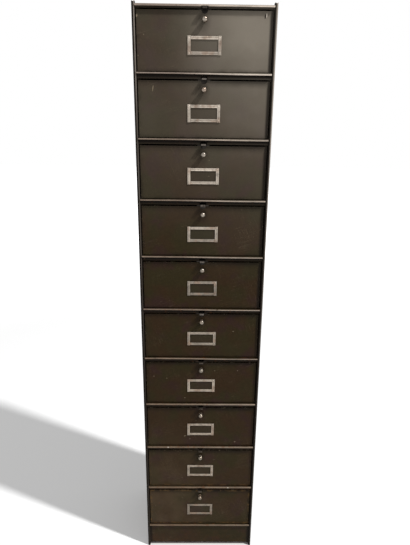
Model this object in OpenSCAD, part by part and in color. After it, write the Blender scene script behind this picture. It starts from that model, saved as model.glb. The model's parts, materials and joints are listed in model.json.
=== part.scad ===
// Column filing cabinet in sheet steel: ten shelves, each closed by a flap
// that is hinged along its lower edge and held shut by a sprung thumb latch.
// Millimetres, +Z up, front facing -Y. The origin is on the floor under the
// middle of the cabinet, halfway between the knobs' fronts and the back.

/* [Cabinet] */
// Width over the side panels
body_w = 380; // [340:1:440]
// Depth of the side panels, from their front edge to the back
body_d = 280; // [240:1:340]
// Height of the lowest nose's centre above the floor
base_h = 93; // [80:1:130]
// Height of a row, from nose to nose
row_h = 169; // [155:1:200]
// How much lower the top row is than the others
top_row_drop = 7; // [0:0.5:8.5]
// How far the side panels rise above the top nose's centre
side_rise = 10; // [6:1:20]
// Thickness of the cabinet's sheet steel
sheet_t = 1.2; // [0.8:0.1:1.6]

/* [Side panels] */
// Width of the rolled front edge
post_w = 8.5; // [8:0.5:14]
// Width of the stop lip inside the rolled edge
lip_w = 9; // [7:0.5:14]
// Width of the rear flange
rear_flange_w = 14; // [8:1:24]
// Width of the foot flange on the floor
foot_flange_w = 18; // [12:1:30]
// Radius of the rounded top corner at the front
top_corner_r = 6; // [3:0.5:12]

/* [Shelves] */
// Diameter of the rolled nose along a shelf's front
nose_d = 6; // [5:0.5:8]
// How far the noses lie behind the front of the side panels, or before it if negative
nose_setback = -1; // [-2:0.5:3]
// Height of the apron under a nose
apron_h = 9.5; // [8:0.5:14]
// Width of the notch in the apron for the latch's thumb tab
apron_notch_w = 18; // [16:0.5:24]
// Height of the side hems under a shelf
hem_h = 14; // [8:1:24]

/* [Plinth] */
// Height of the gap under the plinth
toe_h = 11; // [11:1:30]
// Radius of the curved gussets at the plinth's lower corners
gusset_r = 10; // [5:1:11]
// Depth of the plinth's folded edges
plinth_fold = 9; // [5:0.5:9]

/* [Flaps] */
// Thickness of the flap's sheet steel
flap_t = 1; // [0.8:0.1:1.2]
// Depth of the flap's folded edges
flap_fold = 10; // [9:0.5:14]
// How far the flap's face lies behind the noses' fronts
flap_recess = 7; // [2:0.5:8]
// Gap between a flap and the side panels
flap_side_gap = 3; // [2:0.5:6]
// Gap between the apron and the flap's upper edge
flap_top_gap = 4; // [3:0.5:6]
// Gap between the nose and the hinge barrel above it
hinge_gap = 0.5; // [0.4:0.1:1.5]
// Radius of the thumb notch in the flap's upper edge
thumb_notch_r = 8.5; // [8:0.5:12]

/* [Hinge rods] */
// Diameter of a hinge rod
rod_d = 4; // [3:0.5:5]
// Radial clearance of a rod in its flap's barrel
barrel_clear = 0.08; // [0.05:0.01:0.1]
// Radial clearance of a rod in the side panels
rod_hole_clear = 0.05; // [0.03:0.01:0.1]
// How far a rod reaches into each rolled edge
rod_grip = 5; // [2:0.5:6]

/* [Latches] */
// Thickness of a latch plate
latch_t = 1.5; // [1:0.1:2]
// Width of the latch's head, whose shoulders catch behind the apron
latch_head_w = 34; // [28:1:44]
// Height of the latch's head
latch_head_h = 8; // [6:0.5:12]
// Width of the latch's stem
latch_stem_w = 13; // [11:0.5:16]
// Length of the latch below its shoulders
latch_l = 44; // [40:1:60]
// Height of the free gap between the shoulders and the apron
latch_free = 0.5; // [0.4:0.1:1]
// Travel of the latch up behind the apron
latch_up = 2.5; // [1.5:0.5:3]
// Travel of the latch down when the tab is pressed
latch_down = 3; // [2:0.5:4]
// Gap around the latch where it slides
latch_clear = 0.4; // [0.3:0.05:0.5]
// Width of the thumb tab
tab_w = 12.8; // [10:0.2:15]
// Length of the thumb tab in front of the flap's face
tab_l = 12.5; // [8:0.5:16]
// Height of the tab's curled front lip
tab_lip_h = 4.5; // [3:0.5:7]
// Height of the tab above the shoulders
tab_rise = 2; // [1.5:0.5:4]
// Width of the guide strap along the latch
strap_w = 6; // [4:0.5:8]
// How far the guide strap lies below the latch's shoulders
strap_drop = 15; // [12:0.5:17]

/* [Knobs] */
// Diameter of the knob's ball
knob_d = 15; // [10:0.5:18]
// How far the ball's centre stands off the flap's face
knob_standoff = 9.5; // [9:0.5:14]
// Depth of the knob below the latch's shoulders
knob_drop = 27; // [26:1:36]
// Diameter of the knob's neck
knob_neck_d = 8; // [5:0.2:8]
// Diameter of the knob's collar on the flap
knob_collar_d = 11; // [9:0.5:14]
// Thickness of the knob's collar
knob_collar_t = 1.2; // [0.8:0.1:2]
// Diameter of the knob's threaded shank
shank_d = 5; // [4:0.5:6]
// Radial clearance of the shank in the flap
shank_clear = 0.1; // [0.05:0.01:0.2]
// Width of the nut over its corners
nut_d = 9.2; // [8:0.2:10]
// Thickness of the nut
nut_t = 3; // [2:0.5:4]

/* [Label frames] */
// Width of the label frame
label_w = 91; // [70:1:120]
// Height of the label frame
label_h = 46.5; // [36:0.5:60]
// Width of the frame's bars
label_bar = 9; // [6:0.5:14]
// Height of the frame's centre above the nose below it
label_rise = 69.5; // [55:0.5:75]
// Thickness of the frame's sheet
label_t = 0.8; // [0.6:0.1:1.2]
// Depth of the card slot behind the frame
card_gap = 1.2; // [0.8:0.1:2]
// Diameter of the rivets' shanks
rivet_d = 2.4; // [2:0.1:3]
// Diameter of the rivets' heads
rivet_head_d = 4; // [3.4:0.1:5]
// Radial clearance of the rivets in the flap
rivet_clear = 0.05; // [0.03:0.01:0.1]
// Distance of the rivets from the frame's ends
rivet_inset = 5; // [4:0.5:7]

/* [Hidden] */
$fn = 64;
cut = 1;                // how far a cutter passes beyond what it cuts
fit = 0.3;              // gap between formed sheets that don't touch
rows = 10;

inner_w = body_w - 2 * post_w;
web_w = body_w - 2 * sheet_t;
post_r = post_w / 2;
nose_r = nose_d / 2;
barrel_bore_r = rod_d / 2 + barrel_clear;
barrel_r = barrel_bore_r + flap_t;
flap_w = inner_w - 2 * flap_side_gap;
head_gap = latch_head_w + 4 * latch_clear;

// Planes from front to back, seen from the side
knob_proud = knob_standoff + knob_d / 2;
tab_proud = tab_l;
proud = max(knob_proud, tab_proud) - flap_recess - nose_setback;
front_y = -(body_d - proud) / 2;
back_y = front_y + body_d;
nose_y = front_y + nose_setback + nose_r;
face_y = front_y + nose_setback + flap_recess;
rod_y = face_y + barrel_r;
lip_y = face_y + flap_fold + fit;
behind_lip_y = lip_y + sheet_t + fit;
panel_y = back_y - 2 * sheet_t;
latch_y = face_y + max(flap_t, sheet_t) + latch_clear;
strap_y = latch_y + latch_t + latch_clear;

// Heights. nose_z(0) is the top panel's nose and nose_z(k) the nose under row k.
// The flaps are all alike, so the apron over the low top row is the shorter one
function apron_under(k) = apron_h - (k == 0 ? top_row_drop : 0);
function nose_z(k) = base_h + (rows - k) * row_h - (k == 0 ? top_row_drop : 0);
function rod_z(k) = nose_z(k) + nose_r + hinge_gap + barrel_r;
function apron_z(k) = nose_z(k) - nose_r - apron_under(k);
function flap_top_z(k) = apron_z(k - 1) - flap_top_gap;
function shoulder_z(k) = apron_z(k - 1) - latch_free;
function knob_z(k) = shoulder_z(k) - knob_drop;
function label_z(k) = nose_z(k) + label_rise;
side_h = nose_z(0) + side_rise;
sheet_top = nose_r;     // a shelf's upper face above its nose's centre
apron_notch_h = apron_h - nose_r;
strap_z = strap_drop + strap_w;

paint = [0.24, 0.22, 0.18];
paint_dark = [0.17, 0.15, 0.13];
nickel = [0.72, 0.69, 0.63];
bare_steel = [0.50, 0.49, 0.47];

// A node's number as two digits, as its name ends
function number(k) = k < 10 ? str("0", k) : str(k);

// Places a shape along X, with its profile drawn in Y and Z
module along_x(length) {
    translate([-length / 2, 0, 0])
        rotate([90, 0, 90])
            linear_extrude(length) children();
}

// Places a cylinder along Y from y to y + length
module along_y(x, y, z, d, length, sides = $fn) {
    translate([x, y, z])
        rotate([-90, 0, 0])
            cylinder(h = length, d = d, $fn = sides);
}

// A box centred on the middle plane, given by its width and its low corner
module centred_box(width, y, z, depth, height) {
    translate([-width / 2, y, z]) cube([width, depth, height]);
}

// ---- Side panels ----

// Section of the right side panel, seen from above
module side_section() {
    web_x = body_w / 2 - sheet_t;
    roll_x = body_w / 2 - post_r;
    roll_y = front_y + post_r;
    // web
    translate([web_x, roll_y]) square([sheet_t, back_y - roll_y]);
    // rolled front edge
    translate([roll_x, roll_y])
        difference() {
            circle(r = post_r);
            circle(r = post_r - sheet_t);
            translate([-post_r - cut, 0]) square([post_w + 2 * cut, post_r + cut]);
        }
    // inner wall of the rolled edge
    translate([inner_w / 2, roll_y])
        square([sheet_t, lip_y + sheet_t - roll_y]);
    // rear flange
    translate([body_w / 2 - rear_flange_w, back_y - sheet_t])
        square([rear_flange_w, sheet_t]);
}

// Cutter that rounds the panel's top front corner
module top_corner_cut() {
    difference() {
        translate([front_y - cut, side_h - top_corner_r])
            square([top_corner_r + cut, top_corner_r + cut]);
        translate([front_y + top_corner_r, side_h - top_corner_r])
            circle(r = top_corner_r);
    }
}

module side_panel() {
    difference() {
        linear_extrude(side_h) side_section();
        along_x(body_w + 2 * cut) top_corner_cut();
        for (k = [1 : rows])
            translate([inner_w / 2 - cut, rod_y, rod_z(k)])
                rotate([0, 90, 0])
                    cylinder(h = sheet_t + 2 * cut, r = rod_d / 2 + rod_hole_clear);
    }
    // stop lip, which ends at the top panel's upper face
    translate([inner_w / 2 - lip_w, lip_y, 0])
        cube([lip_w + sheet_t, sheet_t, nose_z(0) + sheet_top]);
    // foot flange
    translate([body_w / 2 - foot_flange_w, behind_lip_y, 0])
        cube([foot_flange_w, back_y - behind_lip_y, sheet_t]);
}

module right_side() {
    color(paint) side_panel();
}

module left_side() {
    color(paint) mirror([1, 0, 0]) side_panel();
}

// ---- Back, top, shelves and plinth ----

module back_panel() {
    color(paint_dark)
        centred_box(web_w, panel_y, toe_h, sheet_t, nose_z(0) + sheet_top - sheet_t - toe_h);
}

// Outline of a shelf's sheet, seen from above, notched round the stop lips
module shelf_outline(to_y) {
    difference() {
        translate([-inner_w / 2, nose_y]) square([inner_w, to_y - nose_y]);
        for (side = [0, 1])
            mirror([side, 0])
                translate([inner_w / 2 - lip_w - fit, lip_y - fit])
                    square([lip_w + fit + cut, sheet_t + 2 * fit]);
    }
    translate([-web_w / 2, behind_lip_y]) square([web_w, to_y - behind_lip_y]);
}

// A shelf with its nose at z, its side hems and an apron under its nose
module shelf_sheet(z, to_y, apron) {
    translate([0, 0, z + sheet_top - sheet_t])
        linear_extrude(sheet_t) shelf_outline(to_y);
    along_x(inner_w) translate([nose_y, z]) circle(r = nose_r);
    if (apron > 0)
        centred_box(inner_w, face_y, z - nose_r - apron,
                    sheet_t, nose_r + apron + sheet_top - sheet_t / 2);
    for (side = [0, 1])
        mirror([side, 0, 0])
            translate([web_w / 2 - sheet_t, behind_lip_y, z + sheet_top - sheet_t - hem_h])
                cube([sheet_t, panel_y - behind_lip_y, hem_h + sheet_t / 2]);
}

// Cutter from below an apron up to top_z, between two planes
module cut_above(apron_edge_z, width, from_y, to_y, top_z) {
    centred_box(width, from_y, apron_edge_z - cut, to_y - from_y, top_z - apron_edge_z + cut);
}

module shelf(k) {
    color(paint)
        if (k < rows)
            difference() {
                shelf_sheet(nose_z(k), panel_y, apron_under(k));
                cut_above(apron_z(k), apron_notch_w, face_y - cut, face_y + sheet_t + cut,
                          apron_z(k) + apron_notch_h);
            }
        else
            shelf_sheet(nose_z(k), panel_y, 0);
}

// The thumb tab's notch goes on through the nose of the top panel
module top_panel() {
    roof_z = nose_z(0) + sheet_top - sheet_t;
    color(paint)
        difference() {
            shelf_sheet(nose_z(0), panel_y + sheet_t, apron_under(0));
            cut_above(apron_z(0), apron_notch_w, nose_y - nose_r - cut, face_y + sheet_t + cut,
                      roof_z);
            // room for the latch's head behind the nose
            cut_above(apron_z(0), head_gap, face_y + sheet_t, strap_y, roof_z);
        }
}

// Face of the plinth with its curved lower corners, drawn in X and Z
module plinth_face() {
    top_z = nose_z(rows) - nose_r - fit;
    translate([-inner_w / 2, toe_h]) square([inner_w, top_z - toe_h]);
    for (side = [0, 1])
        mirror([side, 0])
            difference() {
                translate([inner_w / 2 - gusset_r, toe_h - gusset_r])
                    square([gusset_r, gusset_r + sheet_t / 2]);
                translate([inner_w / 2 - gusset_r, toe_h - gusset_r]) circle(r = gusset_r);
            }
}

module plinth() {
    top_z = nose_z(rows) - nose_r - fit;
    color(paint) {
        translate([0, face_y + sheet_t, 0])
            rotate([90, 0, 0])
                linear_extrude(sheet_t) plinth_face();
        // folded lower edge
        centred_box(inner_w, face_y, toe_h, plinth_fold, sheet_t);
        // folded ends, which lie against the side panels
        for (side = [0, 1])
            mirror([side, 0, 0])
                translate([inner_w / 2 - sheet_t, face_y, toe_h])
                    cube([sheet_t, plinth_fold, top_z - toe_h]);
    }
}

module hinge_rods() {
    color(bare_steel)
        for (k = [1 : rows])
            along_x(inner_w + 2 * rod_grip)
                translate([rod_y, rod_z(k)]) circle(d = rod_d);
}

// ---- Flaps ----

// Section of the flap's face and hinge barrel, drawn in Y and Z
module flap_section(k) {
    difference() {
        union() {
            translate([rod_y, rod_z(k)]) circle(r = barrel_r);
            translate([face_y, rod_z(k)]) square([flap_t, flap_top_z(k) - rod_z(k)]);
        }
        translate([rod_y, rod_z(k)]) circle(r = barrel_bore_r);
    }
}

// Strap on the flap's back that guides the latch's stem
module guide_strap(k) {
    channel_w = latch_stem_w + 2 * latch_clear;
    z = shoulder_z(k) - strap_z;
    difference() {
        centred_box(channel_w + 2 * flap_t, face_y + flap_t / 2, z,
                    strap_y + flap_t - face_y - flap_t / 2, strap_w);
        centred_box(channel_w, face_y + flap_t / 2 - cut, z - cut,
                    strap_y - face_y - flap_t / 2 + cut, strap_w + 2 * cut);
    }
}

module flap(k) {
    fold_z = rod_z(k) + barrel_r + fit;
    color(paint) {
        difference() {
            union() {
                along_x(flap_w) flap_section(k);
                // folded upper edge
                centred_box(flap_w, face_y, flap_top_z(k) - flap_t, flap_fold, flap_t);
                // folded side edges
                for (side = [0, 1])
                    mirror([side, 0, 0])
                        translate([flap_w / 2 - flap_t, face_y, fold_z])
                            cube([flap_t, flap_fold, flap_top_z(k) - fold_z]);
            }
            // gap in the upper fold for the latch's head
            centred_box(head_gap, face_y + flap_t, flap_top_z(k) - flap_t - cut,
                        flap_fold, flap_t + 2 * cut);
            // thumb notch
            along_y(0, face_y - cut, flap_top_z(k), 2 * thumb_notch_r, flap_t + 2 * cut);
            // knob hole
            along_y(0, face_y - cut, knob_z(k), shank_d + 2 * shank_clear, flap_t + 2 * cut);
            // rivet holes
            for (x = [-1, 1], z = [-1, 1])
                along_y(x * (label_w / 2 - rivet_inset), face_y - cut,
                        label_z(k) + z * (label_h / 2 - rivet_inset),
                        rivet_d + 2 * rivet_clear, flap_t + 2 * cut);
        }
        guide_strap(k);
    }
}

// ---- What each flap carries ----

// Frame for a paper label: the card slides in from the right
module label_frame(k) {
    z = label_z(k);
    frame_y = face_y - card_gap - label_t;
    window_w = label_w - 2 * label_bar;
    window_h = label_h - 2 * label_bar;
    color(nickel) {
        difference() {
            centred_box(label_w, frame_y, z - label_h / 2, label_t + card_gap, label_h);
            // window
            centred_box(window_w, frame_y - cut, z - window_h / 2,
                        label_t + card_gap + 2 * cut, window_h);
            // card slot, open on the right
            translate([-label_w / 2 + label_t, frame_y + label_t, z - label_h / 2 + label_t])
                cube([label_w, card_gap + cut, label_h - 2 * label_t]);
        }
        // rivets, with a head on each side
        for (x = [-1, 1], dz = [-1, 1]) {
            rx = x * (label_w / 2 - rivet_inset);
            rz = z + dz * (label_h / 2 - rivet_inset);
            along_y(rx, frame_y - label_t / 2, rz, rivet_head_d, label_t);
            along_y(rx, frame_y, rz, rivet_d, label_t + card_gap + flap_t + label_t / 2);
            along_y(rx, face_y + flap_t, rz, rivet_head_d, label_t);
        }
    }
}

module knob(k) {
    z = knob_z(k);
    ball_y = face_y - knob_standoff;
    color(nickel) {
        translate([0, ball_y, z]) sphere(d = knob_d);
        along_y(0, ball_y, z, knob_neck_d, knob_standoff);
        along_y(0, face_y - knob_collar_t, z, knob_collar_d, knob_collar_t);
        along_y(0, face_y - knob_collar_t / 2, z, shank_d,
                strap_y + nut_t + flap_t - face_y + knob_collar_t / 2);
        // nut behind the latch plate
        along_y(0, strap_y, z, nut_d, nut_t, 6);
    }
}

// Latch plate: shoulders that catch behind the apron, a thumb tab through the
// apron's notch, and a slot that rides on the knob's shank
module latch(k) {
    z = shoulder_z(k);
    tab_z = z + tab_rise;
    slot_h = shank_d + latch_up + latch_down + 2 * latch_clear;
    slot_w = shank_d + 2 * latch_clear;
    // the slot's middle lies where the shank is, allowing for unequal travels
    slot_z = knob_z(k) + (latch_down - latch_up) / 2;
    color(bare_steel)
        difference() {
            union() {
                centred_box(latch_head_w, latch_y, z - latch_head_h, latch_t, latch_head_h);
                centred_box(latch_stem_w, latch_y, z - latch_l, latch_t, latch_l);
                centred_box(tab_w, latch_y, z - latch_head_h, latch_t, latch_head_h + tab_rise);
                // thumb tab and its curled front lip
                centred_box(tab_w, face_y - tab_l, tab_z - latch_t,
                            latch_y + latch_t - face_y + tab_l, latch_t);
                centred_box(tab_w, face_y - tab_l, tab_z - tab_lip_h, latch_t, tab_lip_h);
            }
            centred_box(slot_w, latch_y - cut, slot_z - slot_h / 2, latch_t + 2 * cut, slot_h);
        }
}

left_side();
right_side();
back_panel();
top_panel();
plinth();
hinge_rods();
for (k = [1 : rows]) {
    shelf(k);
    flap(k);
    label_frame(k);
    knob(k);
    latch(k);
}
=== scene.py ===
"""A tall flap-front filing cabinet in worn enamelled steel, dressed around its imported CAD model.

All lengths are in metres in the cabinet's own frame: the floor is z = 0, the front faces -Y,
and +X is on the right of someone who faces the flaps.
"""
import json
import math

import bmesh
import bpy
from mathutils import Matrix, Vector

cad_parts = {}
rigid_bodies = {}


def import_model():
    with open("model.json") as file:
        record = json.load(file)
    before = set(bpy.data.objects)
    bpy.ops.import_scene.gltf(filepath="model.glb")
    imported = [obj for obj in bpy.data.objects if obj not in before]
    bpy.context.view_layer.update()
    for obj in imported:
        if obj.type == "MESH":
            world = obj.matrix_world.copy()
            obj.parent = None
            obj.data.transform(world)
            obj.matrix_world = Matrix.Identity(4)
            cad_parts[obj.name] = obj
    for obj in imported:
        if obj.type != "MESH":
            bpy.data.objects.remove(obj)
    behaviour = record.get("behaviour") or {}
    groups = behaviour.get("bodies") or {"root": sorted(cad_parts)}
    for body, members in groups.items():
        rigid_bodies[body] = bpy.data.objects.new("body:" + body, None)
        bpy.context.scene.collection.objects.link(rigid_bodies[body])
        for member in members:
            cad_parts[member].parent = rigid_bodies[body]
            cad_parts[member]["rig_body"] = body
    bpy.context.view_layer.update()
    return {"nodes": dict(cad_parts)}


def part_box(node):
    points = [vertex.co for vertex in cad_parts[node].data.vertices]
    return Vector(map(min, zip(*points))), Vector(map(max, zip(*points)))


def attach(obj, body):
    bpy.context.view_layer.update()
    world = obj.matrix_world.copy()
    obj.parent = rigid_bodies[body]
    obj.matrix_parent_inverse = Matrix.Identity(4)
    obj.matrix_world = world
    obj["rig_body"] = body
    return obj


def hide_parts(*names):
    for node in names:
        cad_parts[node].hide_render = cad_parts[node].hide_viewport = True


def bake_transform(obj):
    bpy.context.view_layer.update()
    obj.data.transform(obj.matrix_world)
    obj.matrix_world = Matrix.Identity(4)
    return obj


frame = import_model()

ROWS = range(1, 11)
MM = 0.001


def row_name(kind, row):
    """A row's piece as the frame names it, such as flap_03."""
    return f"{kind}_{row:02d}"


def row_boxes(kind):
    """The low and high corner of every row's piece of one kind."""
    return {row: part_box(row_name(kind, row)) for row in ROWS}


def srgb(red, green, blue):
    """A colour given on a 0 to 255 scale, as the linear colour that a shader takes."""
    def linear(value):
        share = value / 255
        return share / 12.92 if share <= 0.04045 else ((share + 0.055) / 1.055) ** 2.4
    return (linear(red), linear(green), linear(blue), 1.0)


# ---------------------------------------------------------------- sizes taken from the frame

FLAP_BOX = row_boxes("flap")
LATCH_BOX = row_boxes("latch")
KNOB_BOX = row_boxes("knob")
LABEL_BOX = row_boxes("label_frame")
TOP_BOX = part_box("top_panel")
SIDE_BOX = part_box("right_side")
PLINTH_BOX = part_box("plinth")

FRONT_Y = SIDE_BOX[0].y              # front of the rolled posts
NOSE_FRONT_Y = TOP_BOX[0].y          # front of the shelves' rolled noses
FACE_Y = FLAP_BOX[1][0].y            # front of the flaps
BACK_Y = SIDE_BOX[1].y               # back of the cabinet
INNER_X = PLINTH_BOX[1].x            # inner side of the posts
ROW_PITCH = FLAP_BOX[2][0].z - FLAP_BOX[3][0].z

NOSE_R = 3.0 * MM                    # radius of the shelves' rolled noses
FLAP_SHEET = 1.0 * MM                # thickness of a flap's sheet
LABEL_BAR = 9.0 * MM                 # width of a label frame's bars
KNOB_SHANK_R = 2.5 * MM
PLINTH_GUSSET = 10.0 * MM            # radius of the curved gussets below the plinth

# How far sharp edges are broken
CARCASS_EDGE = 0.3 * MM
FLAP_EDGE = 0.25 * MM
LATCH_EDGE = 0.25 * MM
ROD_EDGE = 0.2 * MM


# ---------------------------------------------------------------- shader helpers

class Nodes:
    """Adds and joins nodes in one material's or group's tree."""

    def __init__(self, tree):
        self.tree = tree
        tree.nodes.clear()

    def add(self, kind, **settings):
        """A new shader node of one kind, with its settings."""
        made = self.tree.nodes.new("ShaderNode" + kind)
        for name, value in settings.items():
            setattr(made, name, value)
        return made

    def feed(self, socket, value):
        """Joins another node's output to a socket, or sets the socket to a value."""
        if isinstance(value, bpy.types.NodeSocket):
            self.tree.links.new(value, socket)
        elif value is not None:
            socket.default_value = value

    def math(self, operation, first, second=None, third=None, clamp=False):
        """Reckons with up to three numbers."""
        made = self.add("Math", operation=operation, use_clamp=clamp)
        for socket, value in zip(made.inputs, (first, second, third)):
            self.feed(socket, value)
        return made.outputs[0]

    def times(self, *values):
        """The product of several masks or numbers."""
        product = values[0]
        for value in values[1:]:
            product = self.math("MULTIPLY", product, value)
        return product

    def most(self, *values):
        """The largest of several masks or numbers."""
        largest = values[0]
        for value in values[1:]:
            largest = self.math("MAXIMUM", largest, value)
        return largest

    def rest(self, mask):
        """What a mask leaves: 1 where it is 0."""
        return self.math("SUBTRACT", 1.0, mask)

    def vector(self, operation, first, second=None):
        """Reckons with one or two vectors; lengths and distances come out as numbers."""
        made = self.add("VectorMath", operation=operation)
        self.feed(made.inputs[0], first)
        self.feed(made.inputs[1], second)
        return made.outputs["Value"] if operation in ("LENGTH", "DISTANCE") else made.outputs[0]

    def step(self, value, low, high, out_low=0.0, out_high=1.0):
        """A soft step: out_low below low, out_high above high."""
        made = self.add("MapRange", interpolation_type="SMOOTHSTEP")
        self.feed(made.inputs["Value"], value)
        self.feed(made.inputs["From Min"], low)
        self.feed(made.inputs["From Max"], high)
        self.feed(made.inputs["To Min"], out_low)
        self.feed(made.inputs["To Max"], out_high)
        return made.outputs[0]

    def fall(self, value, low, high, out_low=1.0, out_high=0.0):
        """A soft step down: out_low below low, out_high above high."""
        return self.step(value, low, high, out_low, out_high)

    def noise(self, position, scale, detail=2.0, roughness=0.5, stretch=None):
        """Cloudy noise from 0 to 1, drawn out along an axis where its stretch is below 1."""
        if stretch is not None:
            position = self.vector("MULTIPLY", position, stretch)
        made = self.add("TexNoise")
        self.feed(made.inputs["Vector"], position)
        self.feed(made.inputs["Scale"], scale)
        made.inputs["Detail"].default_value = detail
        made.inputs["Roughness"].default_value = roughness
        return made.outputs["Fac"]

    def mix(self, factor, first, second):
        """Mixes two colours."""
        made = self.add("Mix", data_type="RGBA")
        self.feed(made.inputs[0], factor)
        self.feed(made.inputs[6], first)
        self.feed(made.inputs[7], second)
        return made.outputs[2]

    def blend(self, factor, first, second):
        """Mixes two numbers."""
        made = self.add("Mix", data_type="FLOAT")
        self.feed(made.inputs[0], factor)
        self.feed(made.inputs[2], first)
        self.feed(made.inputs[3], second)
        return made.outputs[0]

    def shaded(self, colour, share):
        """A colour multiplied by a number."""
        made = self.add("VectorMath", operation="SCALE")
        self.feed(made.inputs[0], colour)
        self.feed(made.inputs["Scale"], share)
        return made.outputs[0]

    def axes(self, position):
        """The x, y and z of a position."""
        made = self.add("SeparateXYZ")
        self.feed(made.inputs[0], position)
        return made.outputs

    def group(self, tree, **inputs):
        """Places a node group; an input's name has _ for each space."""
        made = self.add("Group", node_tree=tree)
        for name, value in inputs.items():
            self.feed(made.inputs[name.replace("_", " ")], value)
        return made.outputs

    def bump(self, height, depth, strength=1.0, normal=None):
        """The normal of a surface that stands up by depth where height is 1."""
        made = self.add("Bump")
        made.inputs["Strength"].default_value = strength
        self.feed(made.inputs["Distance"], depth)
        self.feed(made.inputs["Height"], height)
        self.feed(made.inputs["Normal"], normal)
        return made.outputs[0]


def new_group(name, inputs, outputs):
    """An empty node group: its builder, the sockets it is given and those that it puts out."""
    tree = bpy.data.node_groups.new(name, "ShaderNodeTree")
    kinds = {"vector": "NodeSocketVector", "number": "NodeSocketFloat", "colour": "NodeSocketColor"}
    nodes = Nodes(tree)
    for way, sockets in (("INPUT", inputs), ("OUTPUT", outputs)):
        for label, kind in sockets.items():
            tree.interface.new_socket(name=label, in_out=way, socket_type=kinds[kind])
    start = tree.nodes.new("NodeGroupInput")
    end = tree.nodes.new("NodeGroupOutput")
    return nodes, start.outputs, end.inputs


# ---------------------------------------------------------------- colours

BROWN = srgb(49, 35, 20)
OLIVE = srgb(45, 38, 20)
PLUM = srgb(49, 33, 27)
# paler tone of the painted pool of light high on the right
POOL_LIGHT_TONE = srgb(132, 124, 112)
WARM = srgb(88, 73, 55)
WINDOW_GREY = srgb(60, 57, 48)
RUST = srgb(98, 58, 30)
OCHRE = srgb(112, 84, 48)
CHIP_PRIMER = srgb(132, 118, 98)
FRESH_STEEL = srgb(196, 186, 172)
# colour of the painted highlights along the posts
POST_HIGHLIGHT = srgb(140, 131, 122)
# colour of grime, and of painted shade in recesses, gaps and behind the flaps
GRIME_AND_SHADE = srgb(18, 14, 11)
# brown tone of the painted shade under the lower noses
BROWN_SHADE = srgb(54, 34, 21)
DUST = srgb(136, 128, 116)

# Rubbed metal of the noses, and old nickel: low down in the column, and high up
NOSE_METAL_LEFT = (srgb(115, 98, 81), srgb(142, 128, 117))
# the right-hand tones are paler: a painted reflection of the light from the right
NOSE_METAL_RIGHT_GLINT = (srgb(116, 102, 87), srgb(190, 178, 165))
FRAME_NICKEL = (srgb(153, 141, 127), srgb(178, 167, 154))
KNOB_NICKEL = (srgb(114, 106, 94), srgb(142, 134, 124))
TARNISH = srgb(136, 112, 95)
NICKEL_PIT = srgb(60, 50, 38)
NICKEL_DIRT = srgb(46, 38, 28)

# Oiled steel: where it is cleaner, and where it is darker
LATCH_STEEL = (srgb(104, 97, 90), srgb(52, 45, 38))
# darker tones of the top row's latch: painted shade
TOP_LATCH_SHADED_STEEL = (srgb(58, 52, 47), srgb(38, 33, 28))
LOW_LATCH_STEEL = (srgb(80, 71, 62), srgb(44, 37, 30))
ROD_STEEL = (srgb(96, 88, 78), srgb(50, 43, 36))
SPRING_STEEL = (srgb(130, 126, 120), srgb(84, 78, 70))

FLOOR_GREY = (0.84, 0.84, 0.84, 1.0)
# darker floor colour of the painted shade under the cabinet
SHADED_FLOOR = (0.76, 0.71, 0.70, 1.0)
FULL_WHITE = (1.0, 1.0, 1.0, 1.0)

PAINT_GLOSS = 0.06                   # specular level of the old enamel
SCRATCH_SHARE = 0.3                  # how much primer shows in a scratch
SPECK_SHARE = 0.6                    # and in a speck


# ---------------------------------------------------------------- shared finishes

def make_edge_distance():
    """How far a point on an upright panel lies from the nearest edge of the box Low to High."""
    nodes, given, out = new_group(
        "edge distance", {"Position": "vector", "Low": "vector", "High": "vector"},
        {"Distance": "number"})
    from_low = nodes.axes(nodes.vector("SUBTRACT", given["Position"], given["Low"]))
    from_high = nodes.axes(nodes.vector("SUBTRACT", given["High"], given["Position"]))
    across = nodes.math("MINIMUM", from_low[0], from_high[0])
    upright = nodes.math("MINIMUM", from_low[2], from_high[2])
    nodes.feed(out["Distance"], nodes.math("MINIMUM", across, upright))
    return nodes.tree


def make_chips():
    """Paint chipped away: certain at an edge, rarer with distance, never beyond Reach."""
    nodes, given, out = new_group(
        "paint chips", {"Position": "vector", "Distance": "number", "Reach": "number",
                        "Amount": "number"}, {"Bare": "number"})
    coarse = nodes.noise(given["Position"], 90.0, 3.0, 0.6)
    fine = nodes.noise(given["Position"], 520.0, 2.0, 0.6)
    grain = nodes.math("MULTIPLY_ADD", fine, 0.45, nodes.times(coarse, 0.55))
    nearness = nodes.rest(nodes.math("DIVIDE", given["Distance"], given["Reach"], clamp=True))
    level = nodes.times(nearness, given["Amount"], 0.72)
    nodes.feed(out["Bare"], nodes.step(nodes.math("ADD", grain, level), 0.98, 1.05))
    return nodes.tree


def make_mottle():
    """Old enamel whose tint drifts from Brown to Olive to Plum, with fine darker mottling."""
    nodes, given, out = new_group(
        "enamel mottle", {"Position": "vector", "Brown": "colour", "Olive": "colour",
                          "Plum": "colour"}, {"Color": "colour"})
    drift = nodes.noise(given["Position"], 9.0, 3.0, 0.55)
    second = nodes.noise(nodes.vector("ADD", given["Position"], (3.1, 1.7, 5.3)), 14.0, 3.0, 0.55)
    fine = nodes.noise(given["Position"], 160.0, 4.0, 0.7)
    tint = nodes.mix(nodes.step(drift, 0.42, 0.62), given["Brown"], given["Olive"])
    tint = nodes.mix(nodes.step(second, 0.5, 0.68), tint, given["Plum"])
    nodes.feed(out["Color"], nodes.shaded(tint, nodes.step(fine, 0.3, 0.7, 0.88, 1.12)))
    return nodes.tree


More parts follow.
